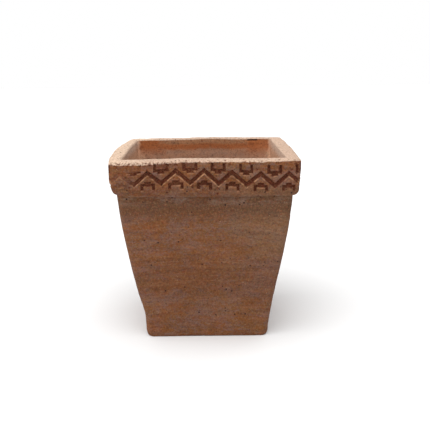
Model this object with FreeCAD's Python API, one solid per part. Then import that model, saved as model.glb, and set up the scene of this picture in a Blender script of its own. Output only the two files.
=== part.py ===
"""Square terracotta planter, hand built from clay slabs, with a carved strip round its rim.

The pot is a floor slab with a drain hole, four tapering wall slabs that stand on it and meet in
mitred corners, four carved strips luted round the outside of the top edge, and coils of clay
pressed into the inside joints. Each slab, strip and coil is its own solid.

Millimetres, +Z up. The origin is the centre of the drain hole at the underside. The front,
seen square on, faces -Y.
"""

import FreeCAD
import Part
import math
import os

Vector = FreeCAD.Vector

# Whole pot
height = 315.0
rim_width = 302.0
floor_thickness = 16.0
drain_hole_diameter = 28.0
foot_bevel_rise = 11.0
foot_bevel_depth = 5.0

# Rim strips
strip_height = 58.0
strip_thickness = 10.25
strip_corner_radius = 13.0
strip_top_bevel = 4.0
strip_foot_bevel_rise = 10.0
strip_foot_bevel_depth = 7.0

# Outside of the walls: how far each side lies in from the shoulder under the strips
belly_height = 150.0
belly_setback = 13.0
knee_height = 60.0
knee_setback = 29.0
foot_setback = 35.0
wall_corner_radius = 12.0

# Thickness of the wall slabs
foot_wall = 15.0
lip_wall = 15.5
lip_bevel = 2.5

# How far the middle of each side stands out past the line between its corners, at the lip
front_bow = 1.0
right_bow = 4.0
back_bow = 2.0
left_bow = 12.0

# Share of that bow that is left at the foot, since the slabs sag outwards most at the lip
foot_bow_share = 0.15

# Carving in the strips, its middle a little above theirs
groove_depth = 3.5
carving_lift = 0.9
carving_pitch = 44.4
zigzag_rise = 18.7
zigzag_width = 6.0
motif_width = 23.2
island_width = 15.0
step_width = 10.0
upper_leg_gap = 5.7
lower_leg_gap = 10.5
island_reach = 12.6
bar_reach = 9.7
step_reach = 5.7

# Coils of clay pressed into the inside joints, smeared out to a thin edge
coil_edge = 1.0
corner_coil_radius = 16.0
corner_coil_drop = 5.0
floor_coil_reach = 14.0

# How far every cutting tool runs past what it cuts
overrun = 5.0

# Each side of the pot: the way it faces, and the bow of its lip
SIDES = {
    "front": (Vector(0, -1, 0), front_bow),
    "right": (Vector(1, 0, 0), right_bow),
    "back": (Vector(0, 1, 0), back_bow),
    "left": (Vector(-1, 0, 0), left_bow),
}
UP = Vector(0, 0, 1)

# The straight-sided rim starts at the shoulder, and the tapering part is drawn in rings between
# the top of the floor coil and that shoulder
shoulder_height = height - strip_height
shoulder_width = rim_width - 2 * strip_thickness
floor_coil_top = floor_thickness + coil_edge + floor_coil_reach
rings = 4


class BowedSide:
    """One bowed side of an outline: part of a large circle."""

    def __init__(self, outward, centre, radius):
        self.outward, self.centre, self.radius = outward, centre, radius

    def touch(self, point):
        """Where the line from the centre of the side's circle through a point meets the side."""
        ray = point - self.centre
        return self.centre + ray * (self.radius / ray.Length)

    def inset(self, depth):
        """The same side, deeper in the pot."""
        return BowedSide(self.outward, self.centre, self.radius - depth)


def bowed_side(outward, half, bow):
    """The side whose ends lie at the corners of a square, and whose middle is proud by the bow."""
    radius = (half**2 + bow**2) / (2 * bow)
    return BowedSide(outward, outward * (half + bow - radius), radius)


def rounding_centre(side, following, radius):
    """Centre of the circle of that radius that touches two neighbouring sides from inside."""
    reach_side = side.radius - radius
    reach_following = following.radius - radius
    between = following.centre - side.centre
    span = between.Length
    foot = (reach_side**2 - reach_following**2 + span**2) / (2 * span)
    rise = math.sqrt(reach_side**2 - foot**2)
    forward = between * (1 / span)
    base = side.centre + forward * foot
    candidates = [base + UP.cross(forward) * rise, base - UP.cross(forward) * rise]
    corner = side.outward + following.outward
    return max(candidates, key=lambda point: point.dot(corner))


class Outline:
    """A plan of the pot: four bowed sides, with corner i rounded where side i starts."""

    def __init__(self, sides, radius):
        self.sides, self.radius = sides, radius
        self.centres = [rounding_centre(sides[i - 1], sides[i], radius) for i in range(4)]

    def start(self, i):
        """Where side i leaves the rounding of its first corner."""
        return self.sides[i % 4].touch(self.centres[i % 4])

    def end(self, i):
        """Where side i meets the rounding of its last corner."""
        return self.sides[i % 4].touch(self.centres[(i + 1) % 4])

    def crown(self, i):
        """The outermost point of corner i, where two pieces meet in a mitre."""
        centre = self.centres[i % 4]
        if self.radius == 0:
            return centre
        outwards = (self.end(i - 1) + self.start(i)) * 0.5 - centre
        return centre + outwards * (self.radius / outwards.Length)

    def inset(self, depth, radius):
        """A plan deeper in the pot, with corners of another radius."""
        return Outline([side.inset(depth) for side in self.sides], radius)

    def side_edges(self, i):
        """Edges along side i, from mitre to mitre."""
        middle = arc(self.sides[i].centre, self.start(i), self.end(i))
        if self.radius == 0:
            return [middle]
        first = arc(self.centres[i], self.crown(i), self.start(i))
        last = arc(self.centres[(i + 1) % 4], self.end(i), self.crown(i + 1))
        return [first, middle, last]

    def wire(self):
        """The whole outline, closed, each rounded corner in one arc."""
        edges = []
        for i in range(4):
            edges.append(arc(self.sides[i].centre, self.start(i), self.end(i)))
            edges.append(arc(self.centres[(i + 1) % 4], self.end(i), self.start(i + 1)))
        return Part.Wire(edges)


def square_outline(width, radius, bow_share):
    """Plan of the pot where it is that wide, with that share of the bow of the lip."""
    sides = [bowed_side(outward, width / 2, bow * bow_share) for outward, bow in SIDES.values()]
    return Outline(sides, radius)


def arc(centre, start, end):
    """The arc about a centre from one point to another, the short way round."""
    towards = (start + end) * 0.5 - centre
    crown = centre + towards * ((start - centre).Length / towards.Length)
    return Part.Arc(start, crown, end).toShape()


def line(start, end):
    return Part.LineSegment(start, end).toShape()


def raised(wire, z):
    return wire.translated(UP * z)


def prism(wire, low, high):
    """A wire drawn in plan, as a solid from one height to another."""
    return Part.Face(raised(wire, low)).extrude(UP * (high - low))


def outside_width(z):
    """Outside width of the walls at a height: a smooth curve through the named setbacks."""
    named = [
        (floor_thickness, foot_setback),
        (knee_height, knee_setback),
        (belly_height, belly_setback),
        (shoulder_height, 0),
    ]
    setback = 0.0
    for height_here, setback_here in named:
        weight = 1.0
        for height_other, _ in named:
            if height_other != height_here:
                weight *= (z - height_other) / (height_here - height_other)
        setback += weight * setback_here
    return shoulder_width - 2 * setback


def wall_plans(z):
    """Plans of the outside and the inside of the walls at a height."""
    rise = (z - floor_thickness) / (shoulder_height - floor_thickness)
    share = foot_bow_share + (1 - foot_bow_share) * rise
    wall = foot_wall + (lip_wall - foot_wall) * rise
    width = outside_width(z)
    outside = square_outline(width, wall_corner_radius, share)
    return outside, square_outline(width - 2 * wall, 0, share)


def coil_plan(inside):
    """Plan of the planting space between the corner coils."""
    return inside.inset(coil_edge, corner_coil_radius)


def wall_section(i, outside, inside):
    """Plan of wall slab i, its inner edge divided where the corner coils end."""
    coils = coil_plan(inside)
    side = inside.sides[i]
    inner = [inside.crown(i + 1), side.touch(coils.end(i)), side.touch(coils.start(i)), inside.crown(i)]
    edges = outside.side_edges(i) + [line(outside.crown(i + 1), inner[0])]
    edges += [arc(side.centre, start, end) for start, end in zip(inner, inner[1:])]
    return Part.Wire(edges + [line(inner[-1], outside.crown(i))])


def corner_coil_section(i, inside):
    """Plan of the coil in corner i: two thin edges on the walls, and a hollow face between."""
    coils = coil_plan(inside)
    before, after = inside.sides[i - 1], inside.sides[i]
    corner = inside.crown(i)
    on_before, on_after = before.touch(coils.end(i - 1)), after.touch(coils.start(i))
    return Part.Wire(
        [
            arc(before.centre, on_before, corner),
            arc(after.centre, corner, on_after),
            line(on_after, coils.start(i)),
            arc(coils.centres[i], coils.start(i), coils.end(i - 1)),
            line(coils.end(i - 1), on_before),
        ]
    )


def ring_heights():
    """Heights of the rings that the tapering part of the pot is drawn in."""
    step = (shoulder_height - floor_coil_top) / rings
    return [floor_coil_top + step * k for k in range(rings + 1)]


def ring_plans():
    """Height, outside plan and inside plan of each ring. The walls stand upright behind the floor coil."""
    plans = [(z, *wall_plans(z)) for z in ring_heights()]
    foot_outside = wall_plans(floor_thickness)[0]
    return [(floor_thickness, foot_outside, plans[0][2])] + plans


def tapering(sections):
    """A solid through plans at their heights."""
    return Part.makeLoft([raised(wire, z) for z, wire in sections], True, True)


def edges_at(shape, z, near_to):
    """The edges of a shape that lie flat at one height, on a plan's sides and corners."""
    tolerance = 1e-4
    found = []
    for edge in shape.Edges:
        flat = abs(edge.BoundBox.ZMin - z) < tolerance and abs(edge.BoundBox.ZMax - z) < tolerance
        if flat and edge.distToShape(raised(near_to, z))[0] < tolerance:
            middle = edge.valueAt((edge.FirstParameter + edge.LastParameter) / 2)
            if Part.Vertex(middle).distToShape(raised(near_to, z))[0] < tolerance:
                found.append(edge)
    return found


def floor_slab():
    """The base slab, with a bevelled foot edge and the drain hole through its middle."""
    plan = wall_plans(floor_thickness)[0].wire()
    slab = prism(plan, 0, floor_thickness)
    slab = slab.makeChamfer(foot_bevel_rise, foot_bevel_depth, edges_at(slab, 0, plan))
    hole = Part.makeCylinder(
        drain_hole_diameter / 2, floor_thickness + 2 * overrun, Vector(0, 0, -overrun)
    )
    return slab.cut(hole)


def wall(i, plans):
    """Wall slab i: tapering to the shoulder, then upright to a lip with a softened inner edge."""
    taper = tapering([(z, wall_section(i, outside, inside)) for z, outside, inside in plans])
    _, outside, inside = plans[-1]
    rim = prism(wall_section(i, outside, inside), shoulder_height, height)
    inner_edge = inside.side_edges(i)[0]
    rim = rim.makeChamfer(lip_bevel, edges_at(rim, height, inner_edge))
    return taper.fuse(rim)


def corner_coil(i, plans):
    """The coil in upright corner i, from the floor coils to just under the lip."""
    standing = [(z, corner_coil_section(i, inside)) for z, _, inside in plans[1:]]
    rim = prism(standing[-1][1], shoulder_height, height - corner_coil_drop)
    return tapering(standing).fuse(rim)


def floor_coil(i, inside):
    """The coil in the seam between the floor and wall i, mitred into its neighbours."""
    centre = Vector(0, 0, 0)
    quarter = Part.Wire(
        inside.side_edges(i) + [line(inside.crown(i + 1), centre), line(centre, inside.crown(i))]
    )
    plan = coil_plan(inside).wire()
    base = floor_thickness + coil_edge
    space = prism(plan, base, floor_coil_top + overrun)
    space = space.makeChamfer(floor_coil_reach, edges_at(space, base, plan))
    return prism(quarter, floor_thickness, floor_coil_top).cut(space)


def along(outward):
    """The way a side runs, left to right for someone who faces it."""
    return UP.cross(outward)


def zigzag_points(last):
    """Outline of the zigzag groove, as places along the strip and heights over its middle."""
    slope = math.atan2(zigzag_rise, carving_pitch / 2)
    half_band = zigzag_width / math.cos(slope) / 2
    turns = []
    for k in range(-last, last + 1):
        peak_or_valley = zigzag_rise / 2 if k % 2 == 0 else -zigzag_rise / 2
        turns.append((k * carving_pitch / 2, peak_or_valley))
    upper = [(u, v + half_band) for u, v in turns]
    lower = [(u, v - half_band) for u, v in reversed(turns)]
    return upper + lower


def motif_points(leg_reach, way):
    """Outline of one stepped groove about its middle. way is 1 for the upper row, -1 for the lower."""
    motif, island, step = motif_width / 2, island_width / 2, step_width / 2
    half = [
        (island, leg_reach),
        (motif, leg_reach),
        (motif, bar_reach),
        (step, bar_reach),
        (step, step_reach),
    ]
    right = [(u, way * v) for u, v in half]
    left = [(-u, way * v) for u, v in reversed(half)]
    return right + left + [(-island, way * island_reach), (island, way * island_reach)]


def pushed(shape, place, facing, depth):
    """An outline drawn on the upright plane that faces that way at a place, pushed in so deep."""
    points = [place + along(facing) * u + UP * v for u, v in shape]
    return Part.Face(Part.makePolygon(points + points[:1])).extrude(facing * -depth)


def carving(i, strip_outside, core):
    """The grooves of strip i, as the solids that are taken out of it.

    The zigzag and the motifs at the corners follow the core of the strip round them. The other
    motifs are cut square to the bowed side.
    """
    side = strip_outside.sides[i]
    half_pitch = carving_pitch / 2
    last = 2 * math.floor((rim_width / 2 / half_pitch + 1) / 2) + 1
    middle = UP * (height - strip_height / 2 + carving_lift)
    upper_leg_reach = strip_height / 2 - carving_lift - upper_leg_gap
    lower_leg_reach = strip_height / 2 + carving_lift - lower_leg_gap
    in_front = side.centre + side.outward * (side.radius + overrun) + middle
    depth = strip_thickness + wall_corner_radius + overrun
    round_corners = [pushed(zigzag_points(last), in_front, side.outward, depth)]
    square_to_strip = []
    for k in range(-last, last + 1):
        u = k * half_pitch
        if k % 2 == 0:
            motif = motif_points(lower_leg_reach, -1)
        else:
            motif = motif_points(upper_leg_reach, 1)
        if abs(u) + motif_width / 2 > rim_width / 2 - strip_corner_radius:
            place = in_front + along(side.outward) * u
            round_corners.append(pushed(motif, place, side.outward, depth))
        else:
            turn = math.asin(u / side.radius)
            facing = side.outward * math.cos(turn) + along(side.outward) * math.sin(turn)
            place = side.centre + facing * (side.radius + overrun) + middle
            square_to_strip.append(pushed(motif, place, facing, groove_depth + overrun))
    return [Part.makeCompound(round_corners).cut(core)] + square_to_strip


def rim_strip(i, wall_outside):
    """Strip i, luted to the outside of its wall, bevelled at the top and the foot, and carved."""
    strip_outside = square_outline(rim_width, strip_corner_radius, 1.0)
    outer_edges = strip_outside.side_edges(i)
    inner_edges = wall_outside.side_edges(i)
    first_mitre = line(wall_outside.crown(i), strip_outside.crown(i))
    last_mitre = line(strip_outside.crown(i + 1), wall_outside.crown(i + 1))
    plan = Part.Wire([first_mitre] + outer_edges + [last_mitre] + inner_edges[::-1])
    strip = prism(plan, shoulder_height, height)
    outer = Part.Wire(outer_edges)
    strip = strip.makeChamfer(strip_top_bevel, edges_at(strip, height, outer))
    foot_edges = edges_at(strip, shoulder_height, outer)
    strip = strip.makeChamfer(strip_foot_bevel_rise, strip_foot_bevel_depth, foot_edges)
    core_plan = strip_outside.inset(groove_depth, strip_corner_radius - groove_depth)
    core = prism(core_plan.wire(), shoulder_height - overrun, height + overrun)
    return strip.cut(carving(i, strip_outside, core))


def pieces():
    """Every piece of the planter by its name."""
    plans = ring_plans()
    names = list(SIDES)
    made = {"floor_slab": floor_slab()}
    for i, name in enumerate(names):
        made["wall_" + name] = wall(i, plans)
        made["rim_strip_" + name] = rim_strip(i, plans[-1][1])
        made["floor_coil_" + name] = floor_coil(i, plans[0][2])
        made["corner_coil_" + names[i - 1] + "_" + name] = corner_coil(i, plans)
    return made


def main():
    os.makedirs("parts", exist_ok=True)
    for name, shape in pieces().items():
        shape.exportStep("parts/" + name + ".step")
        print(name, len(shape.Solids), "solids", round(shape.Volume), "mm3", shape.isValid())


main()
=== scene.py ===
"""Looks of the square terracotta planter: its clay surfaces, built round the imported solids.

The pot's body, its carved rim and the coils in its seams are closed meshes. Each is a grid of
rings: a ring is the plan of the pot at one height, and the rings follow its section. Lengths are
in metres, +Z is up, and the front of the pot faces -Y. Values for each side are in the order
front, right, back, left.
"""

import math

import bpy
import numpy as np
from mathutils import Matrix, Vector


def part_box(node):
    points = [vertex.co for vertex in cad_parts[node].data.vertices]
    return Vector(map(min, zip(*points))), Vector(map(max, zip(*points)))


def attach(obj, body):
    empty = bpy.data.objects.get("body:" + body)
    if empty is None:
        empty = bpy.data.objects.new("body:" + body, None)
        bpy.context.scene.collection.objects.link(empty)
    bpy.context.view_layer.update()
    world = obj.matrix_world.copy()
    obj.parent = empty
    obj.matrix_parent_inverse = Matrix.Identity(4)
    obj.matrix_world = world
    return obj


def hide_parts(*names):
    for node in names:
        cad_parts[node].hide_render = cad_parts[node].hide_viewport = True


SEED = 41
QUARTER = math.pi / 2

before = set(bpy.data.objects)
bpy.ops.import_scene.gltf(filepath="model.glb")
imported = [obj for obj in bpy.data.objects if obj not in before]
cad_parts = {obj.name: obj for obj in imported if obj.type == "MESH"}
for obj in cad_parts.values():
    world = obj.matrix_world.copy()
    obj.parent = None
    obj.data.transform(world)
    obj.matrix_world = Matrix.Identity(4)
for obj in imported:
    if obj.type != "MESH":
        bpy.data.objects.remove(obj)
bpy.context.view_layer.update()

# Sizes read from the frame
floor_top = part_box("floor_slab")[1].z
front_low, front_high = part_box("rim_strip_front")
height = front_high.z
shoulder_height = front_low.z
right_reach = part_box("rim_strip_right")[1].x
back_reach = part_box("rim_strip_back")[1].y
left_reach = -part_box("rim_strip_left")[0].x

# Half widths of the pot at its corners, without the bow of its sides
rim_half = 0.151
wall_half = 0.14075
foot_half = 0.10575
knee_height, knee_half = 0.060, 0.11175
belly_height, belly_half = 0.150, 0.12775

# The bow of each side at the lip, and the share of it that is left at the foot
BOWS = np.array([-front_low.y, right_reach, back_reach, left_reach]) - rim_half
foot_bow_share = 0.15

# Corners in plan: one radius, or one for each of left front, front right, right back and back left.
# None is wider than a share of its ring's half width.
wall_corner = 0.012
inner_corner = 0.014
lip_corner = 0.0045
RIM_CORNERS = np.array([0.012, 0.009, 0.006, 0.018])
widest_corner_share = 0.45

# Clay thickness, and how high the inside stands upright behind the floor coils
foot_wall = 0.015
lip_wall = 0.0155
coil_foot = 0.026

# The opening at the lip, trimmed straighter than the outside and a little askew
LIP_HALVES = np.array([0.1250, 0.1282, 0.1280, 0.1370])
LIP_BOWS = np.array([0.0008, 0.0012, 0.0010, 0.0008])
LIP_TURNS = np.radians([1.9, -0.9, 0, -0.6])
LIP_ROUNDS = np.array([0.0024, 0.0030, 0.0022, 0.0045])
widest_round = LIP_ROUNDS.max()
trimmed_depth = 0.075

# Section of the body. Its rings turn from the round drain hole to the square walls over a share
# of the floor, and its hidden end is tucked into the clay behind the lip's seam.
foot_round_rise, foot_round_depth = 0.016, 0.0042
hole_radius, hole_round = 0.014, 0.0015
squared_share = 0.8
cove = 0.006
lip_seam_height = height - 0.011
tuck = 0.002

# Section of the rim
crest_round = 0.0055
crown_rise = 0.0007
strip_taper = 0.0022
strip_foot_rise, strip_foot_depth = 0.012, 0.0065
luting = 0.0018

# Grid of the meshes: columns along a side and round a corner, steps of arcs, distances between rows
BODY_COLUMNS = (120, 7)
RIM_COLUMNS = (376, 14)
body_side_columns = BODY_COLUMNS[0] + 2 * BODY_COLUMNS[1]
foot_steps, cove_steps, hole_steps = 9, 4, 3
lip_steps, crest_steps, strip_foot_steps = 16, 9, 14
body_row = 0.0022
floor_row = body_row * 1.5
coarse_row = body_row * 2
buried_row = body_row * 3
rim_row = 0.0007
crown_row = rim_row * 1.4
lip_row = rim_row * 1.6
strip_base_row = rim_row * 2

# The way each side faces, and the way it runs from left to right
OUTWARD = np.array([[0, -1], [1, 0], [0, 1], [-1, 0]], float)
ALONG = np.array([[1, 0], [0, 1], [-1, 0], [0, -1]], float)


# Fields and rings


def smooth(low, high, value):
    """0 at low, 1 at high, and a smooth step between."""
    t = np.clip((value - low) / (high - low), 0, 1)
    return t * t * (3 - 2 * t)


def hump(value, height, middle, reach):
    """That height at the middle, falling off like a bell over that reach."""
    return height * np.exp(-(((value - middle) / reach) ** 2))


def lumps(points, height, size, seed):
    """A smooth random field, with lumps and hollows of at most that height and about that size."""
    cells = 24
    lattice = np.random.default_rng(SEED + seed).uniform(-1, 1, (cells, cells, cells))
    place = points / size + cells / 3
    low = np.floor(place).astype(int)
    share = place - low
    share = share * share * (3 - 2 * share)
    total = 0
    for corner in np.ndindex(2, 2, 2):
        weight = np.prod(np.where(corner, share, 1 - share), axis=-1)
        index = (low + corner) % cells
        total = total + weight * lattice[index[..., 0], index[..., 1], index[..., 2]]
    return height * total


def ridged(points, height, size, seed):
    """Lumps with two layers of finer lumps on them."""
    layers, next_seed = 3, 17
    return sum(lumps(points, height / 2**k, size / 2**k, seed + next_seed * k) for k in range(layers))


class Row:
    """One ring of a section: its height, each side's half width, bow, corner and turn, and its squareness."""

    def __init__(self, z, halves, bows, corners, zone, square=1.0, turns=0.0):
        self.z, self.zone, self.square = z, zone, square
        self.halves, self.bows, self.corners, self.turns = (
            np.broadcast_to(value, 4) * 1.0 for value in (halves, bows, corners, turns)
        )

    def towards(self, other, t):
        """A row that share of the way to another, in the zone of this one."""
        names = ("z", "halves", "bows", "corners", "square", "turns")
        pairs = [(getattr(self, name), getattr(other, name)) for name in names]
        z, halves, bows, corners, square, turns = (a + (b - a) * t for a, b in pairs)
        return Row(z, halves, bows, corners, self.zone, square, turns)


def plan_ring(row, columns=BODY_COLUMNS, corners=None):
    """The pot's plan at a row: points, outward directions, and how far along its side each point lies."""
    corners = np.minimum(row.corners if corners is None else corners, row.halves * widest_corner_share)
    radii = (row.halves**2 + row.bows**2) / (2 * row.bows)
    cos, sin = np.cos(row.turns)[:, None], np.sin(row.turns)[:, None]
    outward = OUTWARD * cos - ALONG * sin
    onward = ALONG * cos + OUTWARD * sin
    centres = outward * (row.halves + row.bows - radii)[:, None]
    side_columns, corner_columns = columns
    # The centre of each corner's rounding, which touches the arcs of both its sides
    roundings = []
    for i in range(4):
        reach_before, reach = radii[i - 1] - corners[i], radii[i] - corners[i]
        between = centres[i] - centres[i - 1]
        span = np.linalg.norm(between)
        foot = (reach_before**2 - reach**2 + span**2) / (2 * span)
        lift = math.sqrt(reach_before**2 - foot**2)
        to_corner = np.array([-between[1], between[0]])
        roundings.append(centres[i - 1] + (between * foot + to_corner * lift) / span)
    points, directions, along = [], [], []
    for i in range(4):
        following = (i + 1) % 4
        first, last = roundings[i], roundings[following]

        def turn(vector):
            return math.atan2(vector @ onward[i], vector @ outward[i])

        start, end = turn(first - centres[i]), turn(last - centres[i])
        crown = (turn(first - centres[i - 1]) + start) / 2
        next_crown = (end + turn(last - centres[following])) / 2
        arcs = [
            (first, corners[i], crown, start, corner_columns),
            (centres[i], radii[i], start, end, side_columns),
            (last, corners[following], end, next_crown, corner_columns),
        ]
        for centre, radius, angle, angle_end, count in arcs:
            angles = np.linspace(angle, angle_end, count, endpoint=False)
            facing = np.cos(angles)[:, None] * outward[i] + np.sin(angles)[:, None] * onward[i]
            place = centre + radius * facing
            points.append(place)
            directions.append(facing)
            along.append(place @ ALONG[i])
    return np.concatenate(points), np.concatenate(directions), np.concatenate(along)


def rings_of(rows, columns):
    """Points of a section's rows round the pot, how far along its side each lies, and the rows' zones."""
    points, along = [], []
    for row in rows:
        plan, _, side_place = plan_ring(row, columns)
        if row.square < 1:
            turned = np.arctan2(plan[:, 1], plan[:, 0])
            circle = row.halves.mean() * np.stack([np.cos(turned), np.sin(turned)], axis=1)
            plan = row.square * plan + (1 - row.square) * circle
        points.append(np.column_stack([plan, np.full(len(plan), row.z)]))
        along.append(side_place)
    return np.array(points), np.array(along), np.array([row.zone for row in rows])


WALL_CURVE = np.polynomial.Polynomial.fit(
    [floor_top, knee_height, belly_height, shoulder_height], [foot_half, knee_half, belly_half, wall_half], 3
)


def outer_half(z):
    """Half width of the outside of the walls at a height."""
    return WALL_CURVE(np.clip(z, floor_top, shoulder_height))


def wall_share(z):
    """How far up the walls a height is: 0 at the floor, 1 at the shoulder."""
    return np.clip((z - floor_top) / (shoulder_height - floor_top), 0, 1)


def inner_half(z):
    """Half width of the inside of the walls at a height."""
    return outer_half(z) - foot_wall - (lip_wall - foot_wall) * wall_share(z)


def strip_half(z):
    """Half width of the carved face, which draws in towards its foot."""
    drop = (height - crest_round - z) / (height - crest_round - shoulder_height)
    return rim_half - strip_taper * np.clip(drop, 0, 1) ** 2


def bow_share(z):
    """Share of the lip's bow at a height."""
    return foot_bow_share + (1 - foot_bow_share) * wall_share(z)


def outside_row(z, half, zone, corners=wall_corner, square=1.0):
    """A row that follows the bow of the outside."""
    return Row(z, half, BOWS * bow_share(z), corners, zone, square)


def inside_row(z, zone="inside", inset=0.0):
    """A row on the inside of the walls, which stand upright behind the floor coils."""
    trimmed = smooth(height - trimmed_depth, height - widest_round, z)
    halves = inner_half(max(z, coil_foot))
    halves = halves + (LIP_HALVES - halves) * trimmed - inset
    bows = BOWS * bow_share(z)
    bows = bows + (LIP_BOWS - bows) * trimmed
    corner = inner_corner + (lip_corner - inner_corner) * trimmed
    return Row(z, halves, bows, corner, zone, turns=LIP_TURNS * trimmed)


def lip_inset(z):
    """How far the rounded inner edge of the lip draws back into the clay at a height, for each side."""
    above = np.clip(LIP_ROUNDS - (height - z), 0, None)
    return LIP_ROUNDS - np.sqrt(LIP_ROUNDS**2 - above**2)


def run(first, last, size):
    """Rows from one to just short of another, about that size apart."""
    span = max(abs(last.z - first.z), np.abs(last.halves - first.halves).mean())
    count = max(1, round(span / size))
    return [first.towards(last, t) for t in np.linspace(0, 1, count, endpoint=False)]


def steps(low, high, size):
    """Values from one to just short of another, about that size apart."""
    count = max(1, round(abs(high - low) / size))
    return np.linspace(low, high, count, endpoint=False)


def arc(z, half, z_end, half_end, count, upright=False):
    """Heights and half widths along a quarter round without its end, which starts flat or upright."""
    angles = np.linspace(0, QUARTER, count, endpoint=False)
    up, across = 1 - np.cos(angles), np.sin(angles)
    if upright:
        up, across = across, up
    return zip(z + (z_end - z) * up, half + (half_end - half) * across)


def within(zone, *names):
    """Whether each row is in one of the named zones, as a column."""
    return np.isin(zone, names)[:, None]


# Meshes


def grid_faces(rows, columns, closed_rows):
    """Quads of a grid of closed rings, and those from its last ring to its first if it is closed."""
    row = np.arange(rows if closed_rows else rows - 1)
    row, column = np.meshgrid(row, np.arange(columns), indexing="ij")
    next_row, next_column = (row + 1) % rows, (column + 1) % columns
    corners = [(row, column), (row, next_column), (next_row, next_column), (next_row, column)]
    return np.stack([(r * columns + c).ravel() for r, c in corners], axis=1)


def grid_normals(points, closed_rows=True):
    """Unit normals of a grid of rings, pointing out of the clay."""
    across = np.roll(points, -1, axis=1) - np.roll(points, 1, axis=1)
    if closed_rows:
        onward = np.roll(points, -1, axis=0) - np.roll(points, 1, axis=0)
    else:
        onward = np.gradient(points, axis=0)
    normal = np.cross(across, onward)
    if closed_rows and (points * normal).sum() < 0:
        normal = -normal
    tiny = 1e-12
    return normal / (np.linalg.norm(normal, axis=2, keepdims=True) + tiny)


def add_object(name, data):
    """A new object in the scene."""
    thing = bpy.data.objects.new(name, data)
    bpy.context.scene.collection.objects.link(thing)
    return thing


def add_mesh(name, points, faces, attributes, sharp_row=None):
    """A smooth mesh object with float attributes on its points. The clay reads those it lacks as 0."""
    points = points.reshape(-1, 3)
    a, b, c, d = (points[faces[:, k]] for k in range(4))
    volume = np.einsum("ij,ij->", np.cross(c - a, d - b), a + b + c + d)
    if volume < 0:
        faces = faces[:, ::-1]
    mesh = bpy.data.meshes.new(name)
    mesh.vertices.add(len(points))
    mesh.vertices.foreach_set("co", points.astype(np.float32).ravel())
    mesh.loops.add(faces.size)
    mesh.loops.foreach_set("vertex_index", faces.astype(np.int32).ravel())
    mesh.polygons.add(len(faces))
    mesh.polygons.foreach_set("loop_start", np.arange(0, faces.size, 4, dtype=np.int32))
    mesh.update(calc_edges=True)
    mesh.shade_smooth()
    for label, values in attributes.items():
        layer = mesh.attributes.new(label, "FLOAT", "POINT")
        layer.data.foreach_set("value", np.asarray(values, np.float32).ravel())
    if sharp_row is not None:
        pairs = np.zeros(len(mesh.edges) * 2, np.int32)
        mesh.edges.foreach_get("vertices", pairs)
        on_row = np.isin(pairs.reshape(-1, 2), sharp_row).all(axis=1)
        layer = mesh.attributes.new("sharp_edge", "BOOLEAN", "EDGE")
        layer.data.foreach_set("value", on_row)
    return add_object(name, mesh)


# How far the sides lean in or out, on top of the bow, as the pot slumped while it dried
# all over, and as humps and hollows, each with its height, middle and reach
slump, slump_size = 0.0009, 0.085
slump_height = floor_top * 2
left_lean, left_lean_low, left_lean_high = 0.0016, 0.150, 0.235
LEFT_HOLLOW = (0.0017, 0.168, 0.050)
LEFT_DRAW = (0.0031, 0.046, 0.024)
LEFT_SWELL = (0.0016, 0.085, 0.045)
BACK_ARCH = (0.0018, 0.010, 0.055)
back_lift = 0.0014
front_dip, front_dip_start, front_dip_end = 0.0013, -0.045, -0.100
near_side = wall_half * 0.6


def slumped(points):
    """Moves points with the uneven shape of the whole pot, the same way for every piece."""
    x, y, z = np.moveaxis(points, -1, 0)
    shift = np.stack([lumps(points, slump, slump_size, k) for k in range(3)], axis=-1)
    stands = smooth(0, slump_height, z)
    shift[..., 2] *= stands
    left = smooth(wall_half / 2, knee_half, -x)
    lean = left_lean * smooth(left_lean_low, left_lean_high, z) + hump(z, *LEFT_HOLLOW)
    shift[..., 0] += left * (lean + hump(z, *LEFT_DRAW) * stands)
    high = smooth(shoulder_height, height, z)
    shift[..., 2] += smooth(near_side, wall_half, y) * (back_lift + hump(x, *BACK_ARCH)) * high
    dipped = smooth(-near_side, -wall_half, y) * smooth(front_dip_start, front_dip_end, x)
    shift[..., 2] -= dipped * front_dip * high
    shift[..., 0] -= hump(y, *LEFT_SWELL) * high * smooth(wall_half, rim_half, -x)
    return points + shift


# The body: floor, walls and the hidden part of the lip

# Relief: the height, size and seed of its lumps
WIPING = (0.00022, 0.012, 5)
WIPED = np.array([0.35, 0.35, 1.6])
DENTS = (0.00035, 0.035, 9)
INNER_DENTS = (0.0003, 0.020, 13)
seam_fade, ground_fade = 0.010, 0.003
KNOCKS = (1, 0.009, 21)
knock_depth, knock_threshold = 0.0009, 0.35
knocks_top, knocks_full = 0.014, 0.002


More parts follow.
